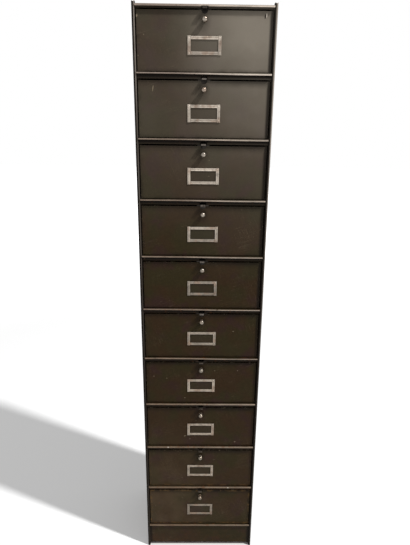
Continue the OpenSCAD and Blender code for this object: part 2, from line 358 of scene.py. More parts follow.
def make_painted_light_pool():
    """Painted light: a pool of light high on the right, strong there and almost gone at half
    height.
    """
    nodes, given, out = new_group("painted light pool", {"Position": "vector"}, {"Fade": "number"})
    place = nodes.axes(given["Position"])
    everywhere = nodes.step(place[2], 1.10, 1.52, 0.0, 0.17)
    strong = nodes.math("POWER", nodes.step(place[2], 1.20, 1.74), 2.2)
    strong = nodes.math("MULTIPLY_ADD", strong, 0.80, nodes.step(place[2], 1.0, 1.2, 0.0, 0.06))
    right = nodes.step(place[0], -0.13, 0.17)
    cloudy = nodes.step(nodes.noise(given["Position"], 11.0, 3.0), 0.3, 0.7, 0.88, 1.12)
    both = nodes.math("ADD", everywhere, nodes.times(strong, right))
    nodes.feed(out["Fade"], nodes.times(both, cloudy))
    return nodes.tree


def make_floor_warmth():
    """Worn warm and lighter by feet and brooms: low down, most on the left."""
    nodes, given, out = new_group("floor warmth", {"Position": "vector"}, {"Warmth": "number"})
    place = nodes.axes(given["Position"])
    low = nodes.times(nodes.fall(place[2], 0.10, 0.64),
                      nodes.step(place[2], 0.085, 0.115, 0.3, 1.0))
    left = nodes.fall(place[0], -0.15, 0.12, 1.0, 0.25)
    patchy = nodes.step(nodes.noise(given["Position"], 16.0, 4.0, 0.6), 0.3, 0.7, 0.6, 1.3)
    nodes.feed(out["Warmth"], nodes.times(low, left, patchy, 0.42))
    return nodes.tree


def make_scratches():
    """Fine straight scratches in two directions, gathered in patches."""
    nodes, given, out = new_group(
        "scratches", {"Position": "vector", "Density": "number"}, {"Scratch": "number"})
    found = 0.0
    # each set's turn in radians, its scale, and an offset that makes it a pattern of its own
    for turn, scale, offset in ((0.32, 70.0, 0.0), (-1.2, 95.0, 7.0)):
        turned = nodes.add("VectorRotate", rotation_type="Y_AXIS")
        nodes.feed(turned.inputs["Vector"], given["Position"])
        turned.inputs["Angle"].default_value = turn
        moved = nodes.vector("ADD", turned.outputs[0], (offset, offset, offset))
        wavy = nodes.noise(moved, scale, 2.0, 0.5, stretch=(0.06, 1.0, 5.0))
        line = nodes.math("ABSOLUTE", nodes.math("SUBTRACT", wavy, 0.5))
        patch = nodes.noise(moved, 13.0, 1.0)
        width = nodes.times(nodes.step(patch, 0.5, 0.72), given["Density"])
        mark = nodes.math("LESS_THAN", line, nodes.times(width, 0.006))
        found = nodes.most(found, mark)
    nodes.feed(out["Scratch"], found)
    return nodes.tree


def make_specks():
    """Sparse round flecks where paint has popped off, about a millimetre wide."""
    nodes, given, out = new_group(
        "specks", {"Position": "vector", "Spacing": "number", "Share": "number"},
        {"Speck": "number"})
    cells = nodes.add("TexVoronoi", feature="F1")
    nodes.feed(cells.inputs["Vector"], given["Position"])
    nodes.feed(cells.inputs["Scale"], nodes.math("DIVIDE", 1.0, given["Spacing"]))
    lottery = nodes.axes(cells.outputs["Color"])
    chosen = nodes.math("LESS_THAN", lottery[0], given["Share"])
    size = nodes.math("MULTIPLY_ADD", lottery[1], 0.06, 0.02)
    spot = nodes.math("LESS_THAN", cells.outputs["Distance"], size)
    nodes.feed(out["Speck"], nodes.times(chosen, spot))
    return nodes.tree


def make_mark():
    """One dent, scratch or chip: a ragged ellipse at Centre.

    Reach holds its half sizes, and Angle turns it.
    """
    nodes, given, out = new_group(
        "single mark", {"Position": "vector", "Centre": "vector", "Reach": "vector",
                        "Angle": "number"}, {"Mark": "number"})
    apart = nodes.vector("SUBTRACT", given["Position"], given["Centre"])
    turned = nodes.add("VectorRotate", rotation_type="Y_AXIS")
    nodes.feed(turned.inputs["Vector"], apart)
    nodes.feed(turned.inputs["Angle"], given["Angle"])
    scaled = nodes.vector("DIVIDE", turned.outputs[0], given["Reach"])
    flat = nodes.vector("MULTIPLY", scaled, (1.0, 0.0, 1.0))
    ragged = nodes.noise(given["Position"], 700.0, 2.0)
    radius = nodes.math("ADD", nodes.vector("LENGTH", flat),
                        nodes.times(nodes.math("SUBTRACT", ragged, 0.5), 1.3))
    nodes.feed(out["Mark"], nodes.fall(radius, 0.8, 1.1))
    return nodes.tree


def make_settled_dust():
    """Dust on what faces up, thinner where it was wiped."""
    nodes, given, out = new_group(
        "settled dust", {"Position": "vector", "Normal": "vector"}, {"Dust": "number"})
    up = nodes.step(nodes.axes(given["Normal"])[2], 0.55, 0.95)
    wiped = nodes.step(nodes.noise(given["Position"], 24.0, 4.0), 0.3, 0.7, 0.35, 1.0)
    nodes.feed(out["Dust"], nodes.times(up, wiped))
    return nodes.tree


def make_spot_welds():
    """Shallow round dimples in rows at the shelves' heights, as spot welding leaves them."""
    nodes, given, out = new_group(
        "spot welds", {"Position": "vector", "Along": "number", "Pitch": "number",
                       "Height": "number", "Row Pitch": "number"}, {"Dimple": "number"})

    def from_nearest(value, pitch):
        """Distance from the nearest multiple of the pitch."""
        return nodes.math("PINGPONG", value, nodes.times(pitch, 0.5))

    up = from_nearest(nodes.math("SUBTRACT", nodes.axes(given["Position"])[2], given["Height"]),
                      given["Row Pitch"])
    along = from_nearest(given["Along"], given["Pitch"])
    spread = nodes.add("CombineXYZ")
    nodes.feed(spread.inputs[0], up)
    nodes.feed(spread.inputs[1], along)
    away = nodes.vector("LENGTH", spread.outputs[0])
    nodes.feed(out["Dimple"], nodes.fall(away, 1.6 * MM, 3.0 * MM))
    return nodes.tree


def make_old_enamel():
    """The enamel's colour with the tint, the painted pool of light high on the right, and the
    warmth that the whole cabinet shares.
    """
    nodes, given, out = new_group("old enamel", {"Position": "vector"}, {"Color": "colour"})
    position = given["Position"]
    mottle = nodes.group(MOTTLE, Position=position, Brown=BROWN, Olive=OLIVE, Plum=PLUM)
    # painted pool of light high on the right
    painted_light = nodes.group(PAINTED_LIGHT_POOL, Position=position)["Fade"]
    warmth = nodes.group(FLOOR_WARMTH, Position=position)["Warmth"]
    colour = nodes.mix(painted_light, mottle["Color"], POOL_LIGHT_TONE)
    nodes.feed(out["Color"], nodes.mix(warmth, colour, WARM))
    return nodes.tree


def make_enamel_skin():
    """The fine grain of sprayed enamel, on sheet that is a little wavy."""
    nodes, given, out = new_group(
        "enamel skin", {"Position": "vector", "Wave Scale": "number", "Wave Depth": "number"},
        {"Normal": "vector"})
    grain = nodes.bump(nodes.noise(given["Position"], 900.0), 0.06 * MM)
    waves = nodes.noise(given["Position"], given["Wave Scale"])
    nodes.feed(out["Normal"], nodes.bump(waves, given["Wave Depth"], 0.5, grain))
    return nodes.tree


EDGE_DISTANCE = make_edge_distance()
CHIPS = make_chips()
MOTTLE = make_mottle()
PAINTED_LIGHT_POOL = make_painted_light_pool()
FLOOR_WARMTH = make_floor_warmth()
OLD_ENAMEL = make_old_enamel()
ENAMEL_SKIN = make_enamel_skin()
SCRATCHES = make_scratches()
SPECKS = make_specks()
MARK = make_mark()
SETTLED_DUST = make_settled_dust()
SPOT_WELDS = make_spot_welds()


# ---------------------------------------------------------------- materials

def new_material(name):
    """A material with a plain surface: its builder, surface, object position and normal."""
    material = bpy.data.materials.new(name)
    material.use_nodes = True
    nodes = Nodes(material.node_tree)
    surface = nodes.add("BsdfPrincipled")
    end = nodes.add("OutputMaterial")
    nodes.feed(end.inputs["Surface"], surface.outputs[0])
    around = nodes.add("TexCoord")
    return material, nodes, surface, around.outputs["Object"], around.outputs["Normal"]


# Marks on single flaps: row, distance from the flap's left edge and height above its lower edge
# in millimetres, half length, half width, angle in degrees, and what shows in the mark
FLAP_MARKS = (
    (1, 340, 139, 5.5, 1.5, 88, "bright"),
    (1, 336, 136, 6.0, 1.6, 86, "dark"),
    (1, 317, 72, 1.4, 1.2, 0, "pale"),
    (1, 2, 134, 4.0, 1.6, 80, "pale"),
    (2, 40, 129, 8.0, 1.1, 82, "pale"),
    (6, 279, 91, 2.2, 1.0, 20, "pale"),
    (7, 24, 99, 1.5, 1.2, 0, "pale"),
    (7, 66, 92, 1.4, 1.0, 30, "pale"),
    (7, 223, 120, 2.0, 0.9, -15, "pale"),
    (7, 298, 121, 1.6, 1.0, 0, "pale"),
    (7, 125, 19, 1.6, 1.3, 0, "pale"),
    (8, 125, 39, 3.0, 1.1, 35, "pale"),
    (8, 142, 27, 2.0, 1.0, -30, "pale"),
    (8, 297, 16, 2.6, 1.2, 10, "pale"),
    (10, 33, 92, 2.4, 1.4, 40, "rust"),
)
MARK_COLOURS = {"pale": CHIP_PRIMER, "bright": FRESH_STEEL, "dark": GRIME_AND_SHADE, "rust": RUST}

# How far the painted shadow of the right post reaches in from a flap's right edge, in millimetres
USUAL_RIGHT_POST_SHADOW = 11
RIGHT_POST_SHADOW = {3: 13, 4: 14, 5: 14, 7: 9}


def label_window(row):
    """Low and high corner of the paint that shows inside a label frame."""
    low, high = LABEL_BOX[row]
    inset = Vector((LABEL_BAR, 0.0, LABEL_BAR))
    return low + inset, high - inset


def flap_grime_and_painted_shade(nodes, row, position, distance):
    """How much a flap is darkened by grime and by painted shadows, given its distance from the
    edges.
    """
    high = FLAP_BOX[row][1]
    place = nodes.axes(position)
    cloud = nodes.noise(position, 30.0, 3.0)
    # painted shadow under the nose above
    below_top = nodes.math("SUBTRACT", high.z, place[2])
    painted_nose_shadow = nodes.fall(nodes.math("ADD", below_top, nodes.times(cloud, 8 * MM)), 4 * MM, 26 * MM)
    nose_shadow_strength = 0.35 if row == 1 else nodes.step(place[0], -0.05, 0.12, 0.38, 0.62)
    # soft patches along the edges, fewer near the floor
    edges = nodes.times(nodes.fall(distance, 0.0, 12 * MM), nodes.step(cloud, 0.35, 0.65),
                        nodes.step(place[2], 0.25, 0.8, 0.25, 1.0))
    # painted shadow of the right post beside the flap's right edge
    from_right = nodes.math("SUBTRACT", high.x, place[0])
    width = RIGHT_POST_SHADOW.get(row, USUAL_RIGHT_POST_SHADOW) * MM
    painted_post_shadow = nodes.times(nodes.fall(from_right, 3 * MM, width),
                             nodes.step(place[2], 0.70, 1.0, 0.3, 1.0))
    # finger marks round the knob, most of them above it on the left
    knob_low, knob_high = KNOB_BOX[row]
    centre = (knob_low + knob_high) / 2
    apart = nodes.vector("SUBTRACT", position, (centre.x - 4 * MM, FACE_Y, centre.z + 4 * MM))
    touched = nodes.vector("LENGTH", nodes.vector("MULTIPLY", apart, (1.25, 0.0, 0.8)))
    fingers = nodes.times(nodes.fall(touched, 6 * MM, 34 * MM),
                          nodes.step(cloud, 0.2, 0.6, 0.4, 1.0))
    on_face = nodes.fall(place[1], FACE_Y + 0.5 * MM, FACE_Y + 2 * MM)
    grime_and_shade = nodes.most(nodes.times(painted_nose_shadow, nose_shadow_strength), nodes.times(edges, 0.42),
                       nodes.times(painted_post_shadow, 0.8))
    return nodes.most(nodes.times(grime_and_shade, on_face), nodes.times(fingers, 0.5))


def flap_marks(nodes, row, position, outer_side, colour):
    """Puts a flap's single marks into its colour; returns the colour and a mask of the marks."""
    low = FLAP_BOX[row][0]
    marks = 0.0
    for at_row, across, up, half_long, half_wide, angle, kind in FLAP_MARKS:
        if at_row != row:
            continue
        at = (low.x + across * MM, FACE_Y, low.z + up * MM)
        mark = nodes.group(MARK, Position=position, Centre=at,
                           Reach=(half_long * MM, 1.0, half_wide * MM),
                           Angle=math.radians(angle))["Mark"]
        mark = nodes.times(mark, outer_side)
        colour = nodes.mix(mark, colour, MARK_COLOURS[kind])
        marks = nodes.most(marks, mark)
    return colour, marks


def flap_enamel(row):
    """Enamel of one flap: faded by the window, grimy and chipped at its edges, marked by use."""
    material, nodes, surface, position, _ = new_material(f"flap enamel {row:02d}")
    low, high = FLAP_BOX[row]
    place = nodes.axes(position)
    distance = nodes.group(EDGE_DISTANCE, Position=position, Low=low, High=high)["Distance"]
    outer_side = nodes.fall(place[1], FACE_Y + 0.3 * MM, FACE_Y + 0.8 * MM)
    colour = nodes.group(OLD_ENAMEL, Position=position)["Color"]
    # paint that a paper label covered is greyer, and the painted pool of light shows less there
    inner_low, inner_high = label_window(row)
    inside = nodes.group(EDGE_DISTANCE, Position=position, Low=inner_low,
                         High=inner_high)["Distance"]
    covered = nodes.times(nodes.step(inside, -1 * MM, 1 * MM, 0.0, 0.28), outer_side)
    colour = nodes.mix(covered, colour, WINDOW_GREY)
    # grime, with painted shadows under the nose and beside the right post
    colour = nodes.mix(flap_grime_and_painted_shade(nodes, row, position, distance), colour, GRIME_AND_SHADE)
    # rust creeps in from the edges of the lowest flaps
    damp = nodes.times(nodes.fall(distance, 0.0, 10 * MM), nodes.fall(place[2], 0.15, 0.45),
                       nodes.step(nodes.noise(position, 45.0, 4.0, 0.65), 0.45, 0.62))
    colour = nodes.mix(nodes.times(damp, 0.7), colour, OCHRE)
    chips = nodes.group(CHIPS, Position=position, Distance=distance, Reach=3 * MM,
                        Amount=0.62)["Bare"]
    scratch = nodes.group(SCRATCHES, Position=position, Density=0.55)["Scratch"]
    speck = nodes.group(SPECKS, Position=position, Spacing=16 * MM, Share=0.05)["Speck"]
    colour = nodes.mix(chips, colour, CHIP_PRIMER)
    colour = nodes.mix(nodes.times(scratch, SCRATCH_SHARE), colour, CHIP_PRIMER)
    colour = nodes.mix(nodes.times(speck, SPECK_SHARE), colour, CHIP_PRIMER)
    colour, marks = flap_marks(nodes, row, position, outer_side, colour)
    nodes.feed(surface.inputs["Base Color"], colour)
    worn = nodes.noise(position, 22.0, 4.0, 0.6)
    rough = nodes.step(worn, 0.3, 0.7, 0.40, 0.58)
    nodes.feed(surface.inputs["Roughness"], nodes.math("MULTIPLY_ADD", chips, 0.1, rough))
    surface.inputs["Specular IOR Level"].default_value = PAINT_GLOSS
    skin = nodes.group(ENAMEL_SKIN, Position=position, Wave_Scale=6.0, Wave_Depth=1.2 * MM)
    lost = nodes.math("ADD", nodes.most(chips, speck), marks)
    nodes.feed(surface.inputs["Normal"],
               nodes.bump(nodes.times(lost, -1.0), 0.12 * MM, 0.8, skin["Normal"]))
    return material


def post_painted_light_and_shade(nodes, position, colour):
    """Painted shade that darkens the rolled front edges nearly black, and a painted highlight in a
    line along each post where light falls.
    """
    place = nodes.axes(position)
    cloud = nodes.noise(position, 30.0, 3.0, stretch=(1.0, 1.0, 0.3))
    # painted shade, thinner high up on the right post's outer half, where light falls
    front = nodes.fall(place[1], FRONT_Y + 10 * MM, FRONT_Y + 22 * MM)
    lit_top = nodes.times(nodes.step(place[2], 1.35, 1.70), nodes.step(place[0], 0.0, 0.1))
    outside = nodes.step(place[0], INNER_X + 2.2 * MM, INNER_X + 4.0 * MM)
    post_front_shade = nodes.blend(nodes.times(lit_top, outside), 0.95, 0.4)
    patchy = nodes.step(cloud, 0.2, 0.7, 0.85, 1.0)
    colour = nodes.mix(nodes.times(front, post_front_shade, patchy), colour, GRIME_AND_SHADE)
    # painted highlights where light falls: along the left post's crown, and on the right post's
    # outer half
    crown = nodes.math("ABSOLUTE", nodes.math("ADD", place[0], INNER_X + 1.9 * MM))
    left_highlight = nodes.times(nodes.fall(crown, 0.8 * MM, 1.7 * MM),
                            nodes.step(place[2], 1.40, 1.72, 0.38, 0.75))
    right_highlight = nodes.step(place[0], INNER_X + 4.0 * MM, INNER_X + 5.6 * MM)
    height = nodes.step(place[2], 0.55, 1.62, 0.2, 0.95)
    on_crown = nodes.fall(place[1], FRONT_Y + 3.0 * MM, FRONT_Y + 5.5 * MM)
    post_highlight = nodes.times(nodes.most(left_highlight, right_highlight), on_crown, height,
                         nodes.step(cloud, 0.3, 0.6, 0.6, 1.0))
    return nodes.mix(post_highlight, colour, POST_HIGHLIGHT)


WELD_PITCH = 62 * MM                 # from one spot weld to the next
WELD_DROP = 8 * MM                   # of the welds below the flaps' lower edges


def panel_enamel(name, along=None, darkness=0.0, rust=0.6, post=False, corners=False):
    """Enamel of the carcass. Along is the axis (0 for X, 1 for Y) that its spot welds follow."""
    material, nodes, surface, position, normal = new_material(name)
    place = nodes.axes(position)
    colour = nodes.group(OLD_ENAMEL, Position=position)["Color"]
    colour = nodes.mix(darkness, colour, GRIME_AND_SHADE)
    # rust and splashes from mopping, climbing a few centimetres from the floor
    climb = nodes.math("MULTIPLY_ADD", nodes.noise(position, 26.0, 4.0, 0.6), 0.16, place[2])
    damp = nodes.times(nodes.fall(climb, 0.07, 0.17),
                       nodes.step(nodes.noise(position, 60.0, 4.0, 0.65), 0.42, 0.62))
    colour = nodes.mix(nodes.times(damp, rust), colour, RUST)
    low, high = SIDE_BOX
    floor_low = Vector((-high.x, low.y, 0.0))
    distance = nodes.group(EDGE_DISTANCE, Position=position, Low=floor_low, High=high)["Distance"]
    chips = nodes.group(CHIPS, Position=position, Distance=distance, Reach=2.5 * MM,
                        Amount=0.5)["Bare"]
    scratch = nodes.group(SCRATCHES, Position=position, Density=0.6)["Scratch"]
    speck = nodes.group(SPECKS, Position=position, Spacing=22 * MM, Share=0.06)["Speck"]
    colour = nodes.mix(nodes.times(scratch, SCRATCH_SHARE), colour, CHIP_PRIMER)
    colour = nodes.mix(nodes.times(speck, SPECK_SHARE), colour, CHIP_PRIMER)
    colour = nodes.mix(nodes.times(chips, 0.6), colour, CHIP_PRIMER)
    if post:
        # painted shade and painted highlights on the posts' fronts
        colour = post_painted_light_and_shade(nodes, position, colour)
    if corners:
        # painted shade on the plinth beside the posts, where it lies back between them
        away = nodes.math("SUBTRACT", INNER_X, nodes.math("ABSOLUTE", place[0]))
        colour = nodes.mix(nodes.fall(away, 4 * MM, 10 * MM, 0.7, 0.0), colour, GRIME_AND_SHADE)
    dust = nodes.group(SETTLED_DUST, Position=position, Normal=normal)["Dust"]
    colour = nodes.mix(nodes.times(dust, 0.4), colour, DUST)
    skin = nodes.group(ENAMEL_SKIN, Position=position, Wave_Scale=5.0,
                       Wave_Depth=1.5 * MM)["Normal"]
    if along is not None:
        welds = nodes.group(SPOT_WELDS, Position=position, Along=place[along], Pitch=WELD_PITCH,
                            Height=FLAP_BOX[10][0].z - WELD_DROP, Row_Pitch=ROW_PITCH)["Dimple"]
        colour = nodes.mix(nodes.times(welds, 0.35), colour, GRIME_AND_SHADE)
        skin = nodes.bump(nodes.times(welds, -1.0), 0.3 * MM, 0.9, skin)
    nodes.feed(surface.inputs["Base Color"], colour)
    worn = nodes.noise(position, 18.0, 4.0, 0.6)
    nodes.feed(surface.inputs["Roughness"], nodes.step(worn, 0.3, 0.7, 0.42, 0.6))
    surface.inputs["Specular IOR Level"].default_value = PAINT_GLOSS
    nodes.feed(surface.inputs["Normal"], skin)
    return material


# Bright chips on single noses: how far from the middle each lies, by its shelf's row
NOSE_CHIPS = {8: -111 * MM, 9: 99 * MM}
NOSE_CHIP_RISE = 0.4 * MM            # of a chip over the nose's centre
NOSE_CHIP_REACH = (2.2 * MM, 1.0, 1.8 * MM)

# Heights between which the look of the noses changes to that of the upper ones, or of the top one
UPPER_NOSES = (0.62, 0.72)
TOP_NOSE = (1.70, 1.74)


def apron_painted_shade(nodes, place, nose_z):
    """How dark the painted shade on the apron under a nose is: a little less towards its lower
    edge.
    """
    under = nodes.math("SUBTRACT", nose_z, place[2])
    in_front = nodes.fall(place[1], FACE_Y + 2 * MM, FACE_Y + 3 * MM)
    fading = nodes.fall(under, 6 * MM, 10.5 * MM, 0.97, 0.62)
    top_less_shaded = nodes.step(place[2], *TOP_NOSE, 1.0, 0.65)
    return nodes.times(nodes.step(under, 0.0, 2 * MM), in_front, fading, top_less_shaded)


def nose_metal_and_painted_glint(nodes, position, place, right):
    """Colour of a nose's rubbed metal: browner low in the column; paler high on the right as a
    painted reflection of the light from the right.
    """
    rise = nodes.step(place[2], 0.1, 1.45, 0.0, 0.5)
    height = nodes.math("ADD", rise, nodes.step(place[2], 1.47, 1.60, 0.0, 0.5))
    metal = nodes.mix(right, nodes.mix(height, *NOSE_METAL_LEFT),
                      nodes.mix(height, *NOSE_METAL_RIGHT_GLINT))
    brushed = nodes.noise(position, 240.0, 3.0, 0.6, stretch=(0.12, 1.0, 1.0))
    return nodes.shaded(metal, nodes.step(brushed, 0.3, 0.75, 1.12, 0.72))


def rubbed_nose(nodes, position, place, over, right):
    """Where a nose is rubbed bare, given the height over its centre."""
    # how far behind the nose's front the rubbing reaches, wavering along the edge
    waver = nodes.noise(position, 60.0, 3.0, 0.6, stretch=(0.5, 1.0, 1.0))
    reach = nodes.math("MULTIPLY_ADD", waver, 1.6 * MM, 1.6 * MM)
    behind = nodes.math("SUBTRACT", place[1], NOSE_FRONT_Y)
    reached = nodes.step(nodes.math("SUBTRACT", reach, behind), -0.4 * MM, 0.4 * MM)
    kept_paint = nodes.noise(position, 70.0, 4.0, 0.7, stretch=(0.35, 1.0, 1.0))
    worn_off = nodes.step(kept_paint, 0.27, 0.36)
    # hands rub the upper noses' tops on the left and their fronts on the right
    upper = nodes.step(place[2], *UPPER_NOSES)
    topmost = nodes.step(place[2], *TOP_NOSE)
    band_top = nodes.blend(upper, 3.4 * MM, nodes.blend(right, 3.0 * MM, 1.4 * MM))
    left_foot = nodes.blend(topmost, -0.6 * MM, -2.6 * MM)
    band_foot = nodes.blend(upper, -2.2 * MM, nodes.blend(right, left_foot, -2.2 * MM))
    below_top = nodes.step(nodes.math("SUBTRACT", band_top, over), -0.3 * MM, 0.3 * MM)
    above_foot = nodes.step(nodes.math("SUBTRACT", over, band_foot), -0.3 * MM, 0.3 * MM)
    return nodes.times(reached, worn_off, below_top, above_foot)


def shelf_finish(name, nose_z, chip_x=None):
    """Shelf enamel with its rolled nose rubbed down to bare metal, browner lower in the column."""
    material, nodes, surface, position, normal = new_material(name)
    place = nodes.axes(position)
    right = nodes.step(place[0], -0.09, 0.11)
    over = nodes.math("SUBTRACT", place[2], nose_z)
    bare = rubbed_nose(nodes, position, place, over, right)
    colour = nodes.group(OLD_ENAMEL, Position=position)["Color"]
    # painted shade on the apron under the nose, browner low down
    apron_shade_colour = nodes.mix(nodes.fall(place[2], 0.20, 0.48), GRIME_AND_SHADE, BROWN_SHADE)
    colour = nodes.mix(apron_painted_shade(nodes, place, nose_z), colour, apron_shade_colour)
    # the ledge between the nose and the flap is darkened, a little more on the upper rows
    ledge = nodes.times(nodes.step(over, 1.8 * MM, 2.6 * MM),
                        nodes.fall(place[1], FACE_Y + 11 * MM, FACE_Y + 13 * MM))
    ledge_darkness = nodes.blend(nodes.step(place[2], *UPPER_NOSES), 0.3, 0.4)
    colour = nodes.mix(nodes.times(ledge, ledge_darkness), colour, GRIME_AND_SHADE)
    colour = nodes.mix(bare, colour, nose_metal_and_painted_glint(nodes, position, place, right))
    rusty = nodes.times(nodes.step(nodes.noise(position, 85.0, 4.0, 0.65), 0.56, 0.66),
                        nodes.step(place[2], 0.3, 1.5, 0.45, 0.06))
    colour = nodes.mix(rusty, colour, RUST)
    if chip_x is not None:
        chip = nodes.group(MARK, Position=position, Reach=NOSE_CHIP_REACH, Angle=0.0,
                           Centre=(chip_x, NOSE_FRONT_Y, nose_z + NOSE_CHIP_RISE))["Mark"]
        colour = nodes.mix(chip, colour, FRESH_STEEL)
    dust = nodes.group(SETTLED_DUST, Position=position, Normal=normal)["Dust"]
    dust = nodes.times(dust, nodes.rest(ledge), nodes.rest(bare), 0.45)
    colour = nodes.mix(dust, colour, DUST)
    nodes.feed(surface.inputs["Base Color"], colour)
    nodes.feed(surface.inputs["Metallic"], nodes.times(bare, 0.8))
    nodes.feed(surface.inputs["Roughness"], nodes.blend(bare, 0.55, 0.42))
    surface.inputs["Specular IOR Level"].default_value = PAINT_GLOSS
    skin = nodes.group(ENAMEL_SKIN, Position=position, Wave_Scale=5.0, Wave_Depth=0.0)
    nodes.feed(surface.inputs["Normal"],
               nodes.bump(nodes.times(bare, -1.0), 0.1 * MM, 0.7, skin["Normal"]))
    return material


HAND_HEIGHT = 1.01                   # where the label frames are handled most


def nickel_plate(name, tones, roughness, handled_and_top_lit=False):
    """Dull old nickel with pinkish tarnish, small dark pits, and dirt in what lies back."""
    material, nodes, surface, position, _ = new_material(name)
    cloud = nodes.noise(position, 70.0, 4.0, 0.6)
    blush = nodes.noise(position, 38.0, 2.0)
    place = nodes.axes(position)
    clean = nodes.mix(nodes.step(place[2], 0.1, 1.7), *tones)
    if handled_and_top_lit:
        # dullest at the height of a hand, and near the wet floor
        from_hand = nodes.math("ABSOLUTE", nodes.math("SUBTRACT", place[2], HAND_HEIGHT))
        clean = nodes.shaded(clean, nodes.step(from_hand, 0.0, 0.36, 0.57, 1.0))
        clean = nodes.shaded(clean, nodes.step(place[2], 0.15, 0.28, 0.72, 1.0))
        # painted light: on the upper rows the top bar is lighter and the other bars darker, as
        # light falls from above
        above_lowest = nodes.math("SUBTRACT", place[2], LABEL_BOX[10][0].z)
        above_foot = nodes.math("FLOORED_MODULO", above_lowest, ROW_PITCH)
        top_bar_painted_light = nodes.step(above_foot, 28 * MM, 40 * MM, 0.84, 1.08)
        clean = nodes.shaded(clean, nodes.blend(nodes.step(place[2], 0.72, 0.78), 1.0, top_bar_painted_light))
    clean = nodes.mix(nodes.step(blush, 0.48, 0.64, 0.0, 0.55), clean, TARNISH)
    colour = nodes.shaded(clean, nodes.step(cloud, 0.4, 0.72, 1.10, 0.72))
    pits = nodes.group(SPECKS, Position=position, Spacing=4 * MM, Share=0.10)["Speck"]
    colour = nodes.mix(nodes.times(pits, 0.7), colour, NICKEL_PIT)
    sunk = nodes.step(nodes.math("SUBTRACT", place[1], FACE_Y), -1.7 * MM, -1.0 * MM)
    colour = nodes.mix(nodes.times(sunk, 0.55), colour, NICKEL_DIRT)
    nodes.feed(surface.inputs["Base Color"], colour)
    surface.inputs["Metallic"].default_value = 0.9
    nodes.feed(surface.inputs["Roughness"],
               nodes.step(cloud, 0.3, 0.7, roughness - 0.06, roughness + 0.08))
    brushed = nodes.noise(position, 600.0, 2.0, 0.5, stretch=(0.15, 1.0, 1.0))
    nodes.feed(surface.inputs["Normal"], nodes.bump(brushed, 0.03 * MM))
    return material


def steel_shaded_behind_faces(name, tones):
    """Bare steel of the latches, rods and springs, with painted shade that darkens it nearly black
    behind the flaps' faces.
    """
    material, nodes, surface, position, _ = new_material(name)
    cloud = nodes.noise(position, 60.0, 4.0, 0.6)
    colour = nodes.mix(nodes.step(cloud, 0.35, 0.7), *tones)
    # painted shade: nearly black behind the flaps' faces
    sunk = nodes.step(nodes.axes(position)[1], FACE_Y - 4 * MM, FACE_Y + 0.5 * MM)
    colour = nodes.mix(nodes.times(sunk, 0.85), colour, GRIME_AND_SHADE)
    nodes.feed(surface.inputs["Base Color"], colour)
    surface.inputs["Metallic"].default_value = 0.8
    nodes.feed(surface.inputs["Roughness"], nodes.step(cloud, 0.3, 0.7, 0.34, 0.55))
    nodes.feed(surface.inputs["Normal"], nodes.bump(nodes.noise(position, 500.0), 0.03 * MM))
    return material


# ---------------------------------------------------------------- mesh helpers

SMOOTH_UP_TO = math.radians(32)      # sharper corners than this stay crisp


def put_in_scene(name, data):
    """A new object that shows a mesh, lamp or camera."""
    made = bpy.data.objects.new(name, data)
    bpy.context.scene.collection.objects.link(made)
    return made


def smooth_piece(work, name, material):
    """Turns a bmesh into an object with smooth faces."""
    for face in work.faces:
        face.smooth = True
        face.material_index = 0
    mesh = bpy.data.meshes.new(name)
    work.to_mesh(mesh)
    work.free()
    mesh.materials.append(material)
    return put_in_scene(name, mesh)


def finished(work, name, material, body, replaced=None, edge=None):
    """A piece that rides on a body, with its sharp edges broken where an edge size is given."""
    piece = smooth_piece(work, name, material)
    piece.data.set_sharp_from_angle(angle=SMOOTH_UP_TO)
    if edge is not None:
        soften = piece.modifiers.new("broken edges", "BEVEL")
        soften.width = edge
        soften.segments = 2
        soften.limit_method = "ANGLE"
        soften.angle_limit = SMOOTH_UP_TO
        weigh = piece.modifiers.new("flat faces", "WEIGHTED_NORMAL")
        weigh.keep_sharp = True
    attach(piece, body)
    if replaced is not None:
        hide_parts(replaced)


def formed_copy(node, material, edge, bends=()):
    """A copy of a CAD node: flat faces joined, sheet bends rounded and edges broken.

    Each bend is a radius and a test that takes an edge's two ends.
    """
    source = frame["nodes"][node]
    work = bmesh.new()
    work.from_mesh(source.data)
    bmesh.ops.remove_doubles(work, verts=work.verts, dist=0.004 * MM)
    bmesh.ops.dissolve_limit(work, angle_limit=math.radians(0.6), verts=work.verts,
                             edges=work.edges)
    for radius, is_bend in bends:
        chosen = [one for one in work.edges if is_bend(one.verts[0].co, one.verts[1].co)]
        if chosen:
            bmesh.ops.bevel(work, geom=chosen, offset=radius, segments=4, profile=0.5,
                            affect="EDGES", clamp_overlap=True)
    finished(work, node + ".formed", material, source["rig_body"], node, edge)


def near(first, second):
    """Whether two places along an axis are the same, within a fiftieth of a millimetre."""
    return abs(first - second) < 0.02 * MM


def in_planes(**planes):
    """A test for edges that lie in all the given planes, such as z=1.2; x counts on both sides."""
    def matches(start, end):
        for point in (start, end):
            place = {"x": abs(point.x), "y": point.y, "z": point.z}
            if not all(near(place[axis], at) for axis, at in planes.items()):
                return False
        return True
    return matches


def either(first, second):
    """A test for edges that pass one of two tests."""
    return lambda start, end: first(start, end) or second(start, end)


def join_rings(work, rings, ends=False):
    """Faces from each ring of vertices to the next, and over the ends; one vertex makes a tip."""
    sides = max(len(ring) for ring in rings)
    for first, second in zip(rings, rings[1:]):
        for step in range(sides):
            after = (step + 1) % sides
            corners = [first[step % len(first)], first[after % len(first)],
                       second[after % len(second)], second[step % len(second)]]
            work.faces.new(tuple(dict.fromkeys(corners)))
    if ends:
        work.faces.new(tuple(reversed(rings[0])))
        work.faces.new(tuple(rings[-1]))


def add_prism(work, outline, origin, across, out, along):
    """A closed bar: its outline's (u, v) points run from origin by across and out, then along."""
    rings = [[work.verts.new(start + across * u + out * v) for u, v in outline]
             for start in (origin, origin + along)]
    join_rings(work, rings, ends=True)


